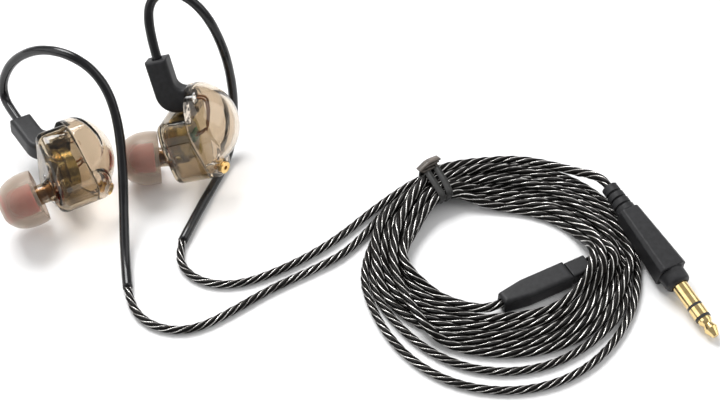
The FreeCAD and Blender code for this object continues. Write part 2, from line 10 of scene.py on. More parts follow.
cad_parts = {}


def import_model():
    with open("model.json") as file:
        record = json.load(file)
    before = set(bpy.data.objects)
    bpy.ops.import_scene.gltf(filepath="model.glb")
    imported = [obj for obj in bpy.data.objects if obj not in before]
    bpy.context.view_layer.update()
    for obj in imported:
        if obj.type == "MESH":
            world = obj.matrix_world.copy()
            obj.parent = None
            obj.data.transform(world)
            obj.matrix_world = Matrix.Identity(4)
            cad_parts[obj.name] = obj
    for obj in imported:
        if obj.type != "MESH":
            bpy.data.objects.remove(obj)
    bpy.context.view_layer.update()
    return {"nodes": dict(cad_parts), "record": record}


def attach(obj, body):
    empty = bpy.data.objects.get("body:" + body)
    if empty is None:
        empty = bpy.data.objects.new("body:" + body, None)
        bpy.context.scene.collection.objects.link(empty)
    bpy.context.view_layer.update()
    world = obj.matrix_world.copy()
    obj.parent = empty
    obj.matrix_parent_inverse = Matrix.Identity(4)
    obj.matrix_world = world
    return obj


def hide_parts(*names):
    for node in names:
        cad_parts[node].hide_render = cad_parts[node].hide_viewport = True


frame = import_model()

MM = 0.001
DESK = np.array([56.460, 0.091, 0.0])      # from the desk layout to the frame, in millimetres
SIDES = ("right", "left")

# Each earpiece's place on the desk: origin, upward axis (towards the boot) and outward axis.
EAR = {
    "right": ((-36.6, 9.8, 13.35), (-0.244, 0.425, 0.872), (0.961, -0.019, 0.278)),
    "left": ((-65.0, 3.3, 9.22), (-0.574, 0.818, -0.030), (0.814, 0.567, -0.129)),
}
# The cable boot's end and the line of its socket, in the earpiece's own millimetres. The hook's
# sleeve starts SLEEVE_GRIP inside the boot and runs straight for HOOK_LEAD beyond it.
BOOT_END, SLEEVE_GRIP, HOOK_LEAD, BOOT_MID = 18.8, 5.0, 6.0, -4.7
# Points that steer each hook over the ear and down to the desk, and each arm from there to the coil.
HOOK = {
    "right": [(-46.8, 24.8, 40.5), (-40.5, 25.0, 42.5), (-34.5, 23.5, 37.5), (-31.0, 22.0, 28.0),
              (-29.8, 21.5, 18.0), (-29.7, 19.8, 9.0), (-30.6, 15.0, 2.6), (-32.2, 9.4, 1.15),
              (-34.4, 3.2, 1.1), (-37.2, -4.2, 1.1), (-40.0, -12.8, 1.1)],
    "left": [(-84.6, 23.8, 11.3), (-83.5, 24.1, 16.3), (-80.0, 23.4, 22.5), (-74.4, 21.4, 27.5),
             (-69.0, 18.6, 30.3), (-64.3, 16.6, 30.4), (-59.8, 14.5, 28.4), (-56.2, 11.3, 24.3),
             (-54.2, 6.3, 18.2), (-53.5, -0.6, 11.4), (-53.3, -7.5, 5.6), (-52.4, -18.5, 1.1),
             (-51.0, -26.0, 1.1)],
}
ARM = {
    "right": [(-40.0, -12.8, 1.1), (-41.042, -16.0, 1.1), (-39.6, -20.8, 1.0), (-34.8, -24.6, 0.9),
              (-27.0, -25.3, 0.9), (-18.0, -21.2, 0.9), (-9.5, -15.8, 0.95), (-2.5, -9.8, 1.1)],
    "left": [(-51.0, -26.0, 1.1), (-50.44, -29.0, 1.1), (-48.3, -33.4, 1.0), (-43.4, -36.9, 0.9),
             (-36.0, -37.4, 0.9), (-28.3, -32.6, 0.9), (-20.0, -26.2, 0.9), (-10.5, -21.0, 0.95),
             (-2.5, -15.8, 1.1)],
}
# The nozzle's root and direction in the earpiece.
NOZZLE_AT, NOZZLE_LEAN = np.array([0, -5.0, -7.6]), np.array([-0.30, 0.22, -1.0])

ARM_D, LEAD_D, SLEEVE_R = 1.8, 2.1, 1.1
# The splitter's lead end and a point towards its arms, and the plug's tip and its cable end.
SPLIT_AT, SPLIT_TO = np.array([30.6, -31.0, 2.35]), np.array([45.6, -23.2, 2.35])
PLUG_TIP, PLUG_TAIL = np.array([75.9, -39.2, 1.75]), np.array([56.3, -1.2, 7.0])
ARM_GAP = 1.05        # from the splitter's axis to each arm's
PIN_LONG, COLLAR, NOSE_LONG, HANDLE_LONG, RELIEF_LONG = 14.0, 1.0, 2.2, 17.5, 7.5
# The middle line of the coil is an ellipse, and the tie goes round the turns at TIE_ANGLE on it.
COIL_CENTRE, COIL_SEMI = np.array([30.4, -18.4]), np.array([25.4, 22.6])
TIE_ANGLE, TIE_OUT, TIE_HALF_WIDE, TIE_HALF_HIGH, TIE_MIDDLE = 120, 1.0, 5.0, 4.0, 4.4
TIE_UNDER = 0.72      # the band's room between the turns and the desk
UP = np.array([0, 0, 1.0])


# ---- Small helpers ---------------------------------------------------------------------------
def unit(v):
    v = np.array(v, float)
    return v / np.linalg.norm(v)


def world(points):
    """Desk millimetres to frame metres."""
    return (np.array(points, float) + DESK) * MM


def matrix_of(at, z_axis, y_hint):
    """4x4 array from local millimetres to desk millimetres."""
    z = unit(z_axis)
    y = np.array(y_hint, float)
    y = unit(y - z * y.dot(z))
    m = np.eye(4)
    m[:3, :] = np.column_stack([np.cross(y, z), y, z, at])
    return m


def applied(m, points):
    return np.array(points, float) @ m[:3, :3].T + m[:3, 3]


def ear_matrix(side):
    at, up, out = EAR[side]
    m = matrix_of(at, out, up)
    if side == "left":
        m = m @ np.diag([-1.0, 1, 1, 1])
    return m


def nozzle_matrix(side):
    return ear_matrix(side) @ matrix_of(NOZZLE_AT, NOZZLE_LEAN, (0, 1, 0))


SPLIT_M = matrix_of(SPLIT_AT, SPLIT_TO - SPLIT_AT, UP)
PLUG_M = matrix_of(PLUG_TIP, PLUG_TAIL - PLUG_TIP, UP)
SPLIT_AXIS, SPLIT_SIDE = SPLIT_M[:3, 2], SPLIT_M[:3, 0]
PLUG_AXIS = PLUG_M[:3, 2]


def on_spline(points):
    """Points read from the smooth curve that steers by the given points."""
    curve = bpy.data.curves.new("route", "CURVE")
    curve.dimensions = "3D"
    line = curve.splines.new("NURBS")
    line.points.add(len(points) - 1)
    for spot, at in zip(line.points, points):
        spot.co = (*at, 1)
    line.order_u = 3
    line.use_endpoint_u = True
    obj = bpy.data.objects.new("route", curve)
    bpy.context.scene.collection.objects.link(obj)
    graph = bpy.context.evaluated_depsgraph_get()
    mesh = bpy.data.meshes.new_from_object(obj.evaluated_get(graph))
    read = np.array([v.co for v in mesh.vertices])
    bpy.data.objects.remove(obj)
    bpy.data.curves.remove(curve)
    bpy.data.meshes.remove(mesh)
    return read


def resample(points, step):
    """The same path in equal steps."""
    p = np.array(points, float)
    t = np.concatenate([[0], np.cumsum(np.linalg.norm(np.diff(p, axis=0), axis=1))])
    u = np.linspace(0, t[-1], max(2, int(round(t[-1] / step))) + 1)
    return np.stack([np.interp(u, t, p[:, k]) for k in range(3)], 1)


# ---- Materials -------------------------------------------------------------------------------
def new_material(name):
    m = bpy.data.materials.new(name)
    m.use_nodes = True
    tree = m.node_tree
    shader = tree.nodes["Principled BSDF"]
    return m, tree, shader


def add(tree, kind):
    return tree.nodes.new(kind)


def noise_of(tree, scale, detail=3.0):
    coords = add(tree, "ShaderNodeTexCoord")
    noise = add(tree, "ShaderNodeTexNoise")
    noise.inputs["Scale"].default_value = scale
    noise.inputs["Detail"].default_value = detail
    tree.links.new(coords.outputs["Object"], noise.inputs["Vector"])
    return noise


def tinted(tree, factor, dark, light):
    """A colour that drifts from dark to light with a factor."""
    ramp = add(tree, "ShaderNodeValToRGB")
    ramp.color_ramp.elements[0].position = 0.3
    ramp.color_ramp.elements[1].position = 0.7
    ramp.color_ramp.elements[0].color = (*dark, 1)
    ramp.color_ramp.elements[1].color = (*light, 1)
    tree.links.new(factor, ramp.inputs["Fac"])
    return ramp.outputs["Color"]


def bumped(tree, shader, height, strength, distance=0.00005):
    bump = add(tree, "ShaderNodeBump")
    bump.inputs["Strength"].default_value = strength
    bump.inputs["Distance"].default_value = distance
    tree.links.new(height, bump.inputs["Height"])
    tree.links.new(bump.outputs["Normal"], shader.inputs["Normal"])


def plain(name, dark, light, rough, metal=0.0, scale=900, bump=0.1, grain=3000, coat=0.0, spec=0.5):
    """A moulded, metal or rubber surface: colour drift, roughness drift and a fine grain."""
    m, tree, shader = new_material(name)
    noise = noise_of(tree, scale)
    tree.links.new(tinted(tree, noise.outputs["Fac"], dark, light), shader.inputs["Base Color"])
    spread = add(tree, "ShaderNodeMapRange")
    spread.inputs["To Min"].default_value = rough * 0.85
    spread.inputs["To Max"].default_value = rough * 1.15
    tree.links.new(noise.outputs["Fac"], spread.inputs["Value"])
    tree.links.new(spread.outputs["Result"], shader.inputs["Roughness"])
    shader.inputs["Metallic"].default_value = metal
    shader.inputs["Coat Weight"].default_value = coat
    shader.inputs["Specular IOR Level"].default_value = spec
    if bump:
        bumped(tree, shader, noise_of(tree, grain).outputs["Fac"], bump)
    return m


def smoked(name, tint, shade, ripple=0.05):
    """Clear tinted moulding that bends light, with lamps let through to what is inside."""
    m, tree, shader = new_material(name)
    out = tree.nodes["Material Output"]
    noise = noise_of(tree, 160)
    dark = tuple(c * 0.97 for c in tint)
    tree.links.new(tinted(tree, noise.outputs["Fac"], dark, tint), shader.inputs["Base Color"])
    shader.inputs["Roughness"].default_value = 0.02
    shader.inputs["Transmission Weight"].default_value = 1.0
    shader.inputs["IOR"].default_value = 1.47
    bumped(tree, shader, noise_of(tree, 420, 1.0).outputs["Fac"], ripple, 0.0002)
    clear = add(tree, "ShaderNodeBsdfTransparent")
    clear.inputs["Color"].default_value = (*shade, 1)
    path = add(tree, "ShaderNodeLightPath")
    mix = add(tree, "ShaderNodeMixShader")
    tree.links.new(path.outputs["Is Shadow Ray"], mix.inputs["Fac"])
    tree.links.new(shader.outputs["BSDF"], mix.inputs[1])
    tree.links.new(clear.outputs["BSDF"], mix.inputs[2])
    tree.links.new(mix.outputs["Shader"], out.inputs["Surface"])
    return m


def silicone(name, colour, least, most):
    """Milky see-through rubber, more solid where it is seen edge on."""
    m, tree, shader = new_material(name)
    out = tree.nodes["Material Output"]
    noise = noise_of(tree, 300)
    light = tuple(min(1, c * 1.12) for c in colour)
    tree.links.new(tinted(tree, noise.outputs["Fac"], colour, light), shader.inputs["Base Color"])
    shader.inputs["Roughness"].default_value = 0.36
    shader.inputs["Specular IOR Level"].default_value = 0.4
    bumped(tree, shader, noise_of(tree, 2500).outputs["Fac"], 0.06)
    clear = add(tree, "ShaderNodeBsdfTransparent")
    clear.inputs["Color"].default_value = (0.86, 0.80, 0.74, 1)
    rim = add(tree, "ShaderNodeLayerWeight")
    rim.inputs["Blend"].default_value = 0.35
    share = add(tree, "ShaderNodeMapRange")
    share.inputs["To Min"].default_value = least
    share.inputs["To Max"].default_value = most
    tree.links.new(rim.outputs["Facing"], share.inputs["Value"])
    mix = add(tree, "ShaderNodeMixShader")
    tree.links.new(share.outputs["Result"], mix.inputs["Fac"])
    tree.links.new(clear.outputs["BSDF"], mix.inputs[1])
    tree.links.new(shader.outputs["BSDF"], mix.inputs[2])
    tree.links.new(mix.outputs["Shader"], out.inputs["Surface"])
    return m


MAT = {
    "smoked_shell": smoked("smoked_shell", (0.72, 0.63, 0.52), (0.91, 0.90, 0.89)),
    "brass_trim": plain("brass_trim", (0.80, 0.52, 0.18), (0.93, 0.66, 0.28), 0.28, 1.0),
    "bead_metal": plain("bead_metal", (0.32, 0.32, 0.33), (0.45, 0.45, 0.45), 0.4, 0.8),
    "mesh_metal": plain("mesh_metal", (0.30, 0.30, 0.30), (0.62, 0.62, 0.60), 0.4, 1.0, 6000, 0.8),
    "tip_core_silicone": plain("tip_core", (0.70, 0.06, 0.06), (0.88, 0.12, 0.11), 0.45, bump=0.05),
    "tip_dome_silicone": silicone("tip_dome", (0.44, 0.38, 0.32), 0.27, 0.92),
    "driver_gold": plain("driver_gold", (0.44, 0.40, 0.20), (0.74, 0.68, 0.42), 0.22, 1.0),
    "driver_steel": plain("driver_steel", (0.30, 0.29, 0.27), (0.45, 0.43, 0.40), 0.35, 1.0),
    "driver_film": plain("driver_film", (0.05, 0.045, 0.04), (0.09, 0.08, 0.07), 0.35),
    "voice_copper": plain("voice_copper", (0.62, 0.28, 0.12), (0.78, 0.40, 0.20), 0.3, 1.0),
    "board_green": plain("board_green", (0.03, 0.10, 0.05), (0.06, 0.18, 0.09), 0.4),
    "dark_moulding": plain("dark_moulding", (0.011, 0.011, 0.012), (0.020, 0.020, 0.022), 0.48,
                           spec=0.34, bump=0.22, grain=5200),
    "hook_tubing": plain("hook_tubing", (0.005, 0.005, 0.006), (0.011, 0.011, 0.012), 0.25,
                         scale=500, bump=0.14, grain=1100, coat=0.25, spec=0.3),
    "spring_wire": plain("spring_wire", (0.40, 0.40, 0.40), (0.55, 0.55, 0.55), 0.3, 1.0),
    "cable_jacket": plain("cable_black", (0.002, 0.0017, 0.0014), (0.005, 0.0043, 0.0036), 0.32,
                          scale=700, bump=0.08, spec=0.10),
    "tie_plastic": plain("tie_plastic", (0.018, 0.018, 0.018), (0.035, 0.034, 0.032), 0.5),
    "plug_gold": plain("plug_gold", (0.86, 0.62, 0.26), (0.96, 0.76, 0.40), 0.16, 1.0, bump=0.03),
    "insulator_black": plain("insulator_black", (0.010, 0.010, 0.010), (0.02, 0.02, 0.02), 0.4),
}
SILVER = plain("cable_silver", (0.14, 0.13, 0.12), (1.0, 0.98, 0.95), 0.26, 0.75, scale=360,
               bump=0.05)
SMOKED_INNER = smoked("smoked_inner", (0.47, 0.385, 0.27), (0.88, 0.865, 0.85), 0.12)
# The tie's folded ends are painted a lighter brownish grey than the black band: a painted highlight
# that stands in for the glint on them.
TIE_ENDS_GLINT = plain("tie_ends_painted_glint", (0.045, 0.038, 0.032), (0.15, 0.125, 0.105), 0.42, scale=600)
LINER = plain("liner_copper", (0.20, 0.115, 0.06), (0.36, 0.22, 0.12), 0.3, 0.8)
ENAMEL = plain("wire_enamel", (0.16, 0.07, 0.03), (0.30, 0.14, 0.06), 0.35, 0.4)

SLOT_OF = {s["node"]: s["material_slot"] for s in frame["record"]["subparts"]}
for node, obj in frame["nodes"].items():
    obj.data.materials.clear()
    obj.data.materials.append(ENAMEL if node.startswith("inner_wires") else MAT[SLOT_OF[node]])


# ---- Pieces softened from the frame's solids ---------------------------------------------------
def body_of(node):
    for body, members in frame["record"]["behaviour"]["bodies"].items():
        if node in members:
            return body
    raise ValueError(node)


def softened(node, voxel, rounds):
    """The node's solid remade as an even mesh with its edges eased, as a moulding has them."""
    source = frame["nodes"][node]
    obj = source.copy()
    obj.data = source.data.copy()
    obj.name = "soft_" + node
    bpy.context.scene.collection.objects.link(obj)
    for key in list(obj.keys()):
        del obj[key]
    obj.parent = None
    obj.matrix_world = Matrix.Identity(4)
    remesh = obj.modifiers.new("remesh", "REMESH")
    remesh.mode = "VOXEL"
    remesh.voxel_size = voxel * MM
    remesh.use_smooth_shade = True
    ease = obj.modifiers.new("ease", "SMOOTH")
    ease.factor = 0.5
    ease.iterations = rounds
    bpy.context.view_layer.update()
    graph = bpy.context.evaluated_depsgraph_get()
    done = bpy.data.meshes.new_from_object(obj.evaluated_get(graph))
    obj.modifiers.clear()
    obj.data = done
    obj.data.materials.clear()
    obj.data.materials.append(MAT[SLOT_OF[node]])
    obj.hide_render = False
    for polygon in obj.data.polygons:
        polygon.use_smooth = True
    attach(obj, body_of(node))
    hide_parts(node)
    return obj


# ---- Meshes built from code --------------------------------------------------------------------
def mesh_object(name, verts, faces, materials, body, slot, replaced=(), indices=None):
    """A smooth-shaded piece that rides on a body and stands for the replaced nodes."""
    mesh = bpy.data.meshes.new(name)
    mesh.from_pydata([tuple(v) for v in verts], [], faces)
    for material in materials:
        mesh.materials.append(material)
    if indices is not None:
        mesh.polygons.foreach_set("material_index", indices)
    mesh.polygons.foreach_set("use_smooth", [True] * len(mesh.polygons))
    mesh.update()
    bm = bmesh.new()
    bm.from_mesh(mesh)
    bmesh.ops.recalc_face_normals(bm, faces=bm.faces)
    bm.to_mesh(mesh)
    bm.free()
    obj = bpy.data.objects.new(name, mesh)
    bpy.context.scene.collection.objects.link(obj)
    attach(obj, body)
    if replaced:
        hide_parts(*replaced)
    return obj


def rounded(profile, per=6):
    """Smooth closed outline through a list of (radius, height) points."""
    p = np.array(profile, float)
    n = len(p)
    out = []
    for i in range(n):
        a, b, c, d = p[i - 1], p[i], p[(i + 1) % n], p[(i + 2) % n]
        for k in range(per):
            t = k / per
            out.append(0.5 * (2 * b + (c - a) * t + (2 * a - 5 * b + 4 * c - d) * t * t
                              + (3 * b - a - 3 * c + d) * t ** 3))
    return np.array(out)


def tube_faces(rings, around, closed):
    """Faces between rings of points, with flat ends unless the tube closes on itself."""
    faces = []
    for i in range(rings if closed else rings - 1):
        j = (i + 1) % rings
        for k in range(around):
            after = (k + 1) % around
            faces.append((i * around + k, j * around + k, j * around + after, i * around + after))
    if not closed:
        faces.append(tuple(range(around)))
        faces.append(tuple((rings - 1) * around + k for k in range(around))[::-1])
    return faces


def lathe(profile, m, around=72):
    """Vertices and faces of a closed (radius, height) profile turned about local Z."""
    verts = []
    for i in range(around):
        a = 2 * math.pi * i / around
        verts += [(r * math.cos(a), r * math.sin(a), z) for r, z in profile]
    return world(applied(m, verts)), tube_faces(around, len(profile), True)


def carried_frames(points):
    """Tangents with side vectors that don't spin along the path."""
    t = np.gradient(points, axis=0)
    t /= np.linalg.norm(t, axis=1)[:, None]
    side = np.empty_like(points)
    n = unit(np.cross(t[0], UP) if abs(t[0][2]) < 0.9 else np.cross(t[0], (1, 0, 0)))
    for i in range(len(points)):
        n = unit(n - t[i] * n.dot(t[i]))
        side[i] = n
    return t, side, np.cross(t, side)


def swept(points, rings, radius, offset=0.0, lay=0.0, phase=0.0, sides=10):
    """Tube along a path, set off from it by offset and winding round it once in each lay."""
    _, n, b = rings
    s = np.concatenate([[0], np.cumsum(np.linalg.norm(np.diff(points, axis=0), axis=1))])
    turn = phase - (2 * math.pi * s / lay if lay else np.zeros(len(s)))
    centre = points + offset * (np.cos(turn)[:, None] * n + np.sin(turn)[:, None] * b)
    radius = np.broadcast_to(radius, len(points))
    verts = []
    for k in range(sides):
        a = 2 * math.pi * k / sides + turn
        verts.append(centre + radius[:, None] * (np.cos(a)[:, None] * n + np.sin(a)[:, None] * b))
    verts = np.stack(verts, 1).reshape(-1, 3)
    faces = []
    for i in range(len(points) - 1):
        for k in range(sides):
            a, b = i * sides + k, i * sides + (k + 1) % sides
            faces.append((a, b, b + sides, a + sides))
    faces.append(tuple(range(sides))[::-1])
    faces.append(tuple((len(points) - 1) * sides + k for k in range(sides)))
    return verts, faces


def joined(parts):
    """One mesh from several, each given as its vertices, faces and material index."""
    verts, faces, indices, base = [], [], [], 0
    for v, f, index in parts:
        verts.append(v)
        faces += [tuple(i + base for i in face) for face in f]
        indices += [index] * len(f)
        base += len(v)
    return np.vstack(verts), faces, indices


# ---- The cable: laid out in its coil, then settled ---------------------------------------------
def oval_point(theta, rho):
    """Point on the coil's middle line at an angle in degrees, moved outwards by rho."""
    t = math.radians(theta)
    p = COIL_SEMI * (math.cos(t), math.sin(t))
    n = unit(np.array([math.cos(t), math.sin(t)]) / COIL_SEMI)
    return COIL_CENTRE + p + n * rho


START_ANGLE = 165      # degrees round the coil where the winding starts
TURN_POINTS = 32
# (turns wound so far, distance outside the coil's middle line, height)
ARM_SLOTS = [
    (0.03, 5.2, 0.9), (0.125, 4.4, 0.9), (0.208, 6.0, 0.9), (0.3, 4.6, 0.9), (0.46, 4.2, 0.9),
    (0.56, 7.0, 0.9), (0.66, 10.3, 0.9), (0.76, 10.4, 0.9), (0.86, 6.4, 0.9), (0.97, 1.8, 0.9),
    (1.1, 0.6, 0.9), (1.208, 2.0, 0.9), (1.36, 1.9, 0.95), (1.43, 3.4, 1.4)]
# (turns wound so far, how far apart the two arms lie, as a multiple of ARM_ASIDE)
ARM_SPREAD = [(0.0, 1.8), (0.12, 1.0), (0.5, 1.0), (0.62, 2.4), (0.80, 2.4), (0.92, 1.0)]
LEAD_SLOTS = [
    (1.87, -5.0, 2.6), (2.0, -4.6, 1.05), (2.125, -3.6, 1.05), (2.236, -6.6, 1.05),
    (2.38, -5.2, 1.4), (2.458, -3.6, 4.6), (2.51, -3.8, 4.6), (2.625, -6.6, 3.2),
    (2.708, -7.0, 2.0), (2.805, -5.6, 1.1), (3.0, -2.9, 1.05), (3.125, -1.6, 1.05),
    (3.236, -4.3, 1.05), (3.38, -3.0, 1.8), (3.458, -1.5, 4.5), (3.51, -1.6, 4.4),
    (3.625, -4.4, 2.4), (3.708, -4.9, 1.2), (3.805, -3.6, 1.1), (4.0, -1.0, 3.1),
    (4.125, -1.6, 3.3), (4.236, -1.2, 3.2), (4.38, -0.6, 3.2), (4.458, 0.6, 3.6),
    (4.51, 0.5, 3.4), (4.625, -0.7, 1.6), (4.708, -1.3, 1.1), (4.805, -0.3, 1.1),
    (5.0, 1.1, 3.1), (5.125, 0.6, 3.3), (5.236, 2.6, 3.4), (5.38, 1.8, 3.1),
    (5.458, 2.7, 3.1), (5.51, 2.7, 2.9), (5.625, 1.8, 1.3), (5.708, 1.1, 1.1),
    (5.805, 1.9, 1.6), (6.0, 3.1, 3.2), (6.125, 1.6, 4.8), (6.236, 6.2, 3.6),
    (6.38, 4.6, 3.1), (6.458, 4.8, 2.9), (6.51, 4.8, 2.6), (6.625, 4.1, 1.3),
    (6.708, 3.4, 1.3), (6.805, 0.6, 4.4), (6.9, -1.0, 5.1), (7.0, -0.2, 5.3),
    (7.125, 2.2, 6.6), (7.2, 6.0, 6.6), (7.23, 6.8, 6.6)]


def wound(first, last, slots, aside=0.0):
    """Turns of cable, from one count of turns to another."""
    points = []
    count = int((last - first) * TURN_POINTS)
    keys = np.array(slots)
    for i in range(count + 1):
        s = first + (last - first) * i / count
        rho, z = np.interp(s, keys[:, 0], keys[:, 1]), np.interp(s, keys[:, 0], keys[:, 2])
        spread = np.interp(s, *np.array(ARM_SPREAD).T)
        x, y = oval_point(START_ANGLE - 360 * s, rho + aside * spread)
        points.append((x, y, z))
    return points


def on_axis(matrix, *heights, x=0.0):
    """Points up a fitting's axis, or beside it by x."""
    return applied(matrix, [(x, 0, h) for h in heights]).tolist()


PLUG_BACK = PIN_LONG + COLLAR + NOSE_LONG + HANDLE_LONG
RELIEF_END = PLUG_BACK + RELIEF_LONG
ARM_ASIDE = 0.95                   # each arm's distance from the line between the two
ARM_TURNS, LEAD_TURNS = 1.415, (1.88, 7.22)
STEP = 1.4                         # between the points that settle
HELD_ARM, HELD_START, HELD_END = 11, 8, 12       # points that the splitter and the plug hold
LOOSE_START, LOOSE_END = 22, 34                  # the lead's points before and after its bundle
DESK_ARM_X = -4                    # the arms lie as drawn to the left of this
# Half width of the splitter and slider, and radius of the plug, at distances along their axes,
# and the stretches of those axes that the cables keep off.
SPLIT_REACH = [0, 6, 17, 17.2, 22.2], [1.6, 2.5, 2.5, 2.2, 2.2]
SPLIT_HALF_HIGH = 2.2
SPLIT_FROM, SPLIT_END = -0.5, 27.0
PLUG_REACH = [15, 17.2, 34.7, 34.8, 42.2, 43], [3.0, 3.9, 2.9, 2.4, 2.0, 1.0]
PLUG_FROM, PLUG_END = 14, 42.5
SIDE_ROOM, ROOM = 0.3, 0.1         # kept free beside the splitter, and above it and round the plug
# The coil's edges inside and outside its middle line, and how much wider it is at its back and front.
EDGE_IN, EDGE_OUT = 4.3, 4.9
WIDER_IN, WIDER_BACK, WIDER_FRONT = 2.9, 2.6, -1.1
# The tie draws the turns in within TIE_ALONG of its middle, fading over TIE_FADE, and the turns
# rise over its band within HUMP_HALF, fading over HUMP_FADE. Its outline goes round what it holds.
TIE_ALONG, TIE_ACROSS, TIE_FADE = 4.0, 12, 2.0
HUMP_HALF, HUMP_FADE, HUMP_ACROSS = 6.0, 3.0, 9
HOLD_HALF, HOLD_ACROSS = 2.0, 8
# In each round a cable falls, slower in the last rounds, goes back a little to where it was laid,
# straightens, keeps its length, pushes its neighbours apart and is pushed away from the fittings.
FALL, LAST_FALL, FALL_SHARE = 0.05, 0.01, 0.85
RETURN, STRAIGHTEN, KEEP_LENGTH, PUSH, AWAY = 0.004, 0.25, 0.9, 0.42, 0.6
DRAW_IN, TIE_PULL = 0.3, 0.5
LENGTH_PASSES, PUSH_PASSES = 3, 2
TOUCH = 1.04                       # cables push each other from this share of their diameter
WATCHED, WATCH_ROUNDS = 3.6, 10    # pairs of points this close are watched, and looked up this often
NEXT_ALONG, BLOCK = 5, 200         # nearest points on one cable left out, and points taken at a time
KEEP_EACH = 3                      # each third settled point steers the cable's spline
ROUNDS, QUICK_ROUNDS = 600, 60


def layout():
    """Rough centrelines of both arms and of the main lead."""
    cables = []
    for side, away, first in (("right", 1, 0.045), ("left", -1, 0.0)):
        end = on_axis(SPLIT_M, 30.0, 27.0, 22.0, 13.5, x=-away * ARM_GAP)
        route = ARM[side] + wound(first, ARM_TURNS, ARM_SLOTS, away * ARM_ASIDE) + end
        cables.append((f"arm_{side}", ARM_D, resample(on_spline(route), STEP)))
    start = on_axis(SPLIT_M, 5.0, 0.0, -4.0) + [(19.0, -34.8, 2.8)]
    coil = wound(*LEAD_TURNS, LEAD_SLOTS)
    tail = [(34.0, 11.6, 6.5), (40.5, 12.0, 6.6), (47.5, 10.0, 7.0), (52.2, 5.6, 7.3)]
    tail += on_axis(PLUG_M, RELIEF_END + 3.5, RELIEF_END - 1.0, PLUG_BACK - 4.0)
    cables.append(("lead", LEAD_D, resample(on_spline(start + coil + tail), STEP)))
    return cables


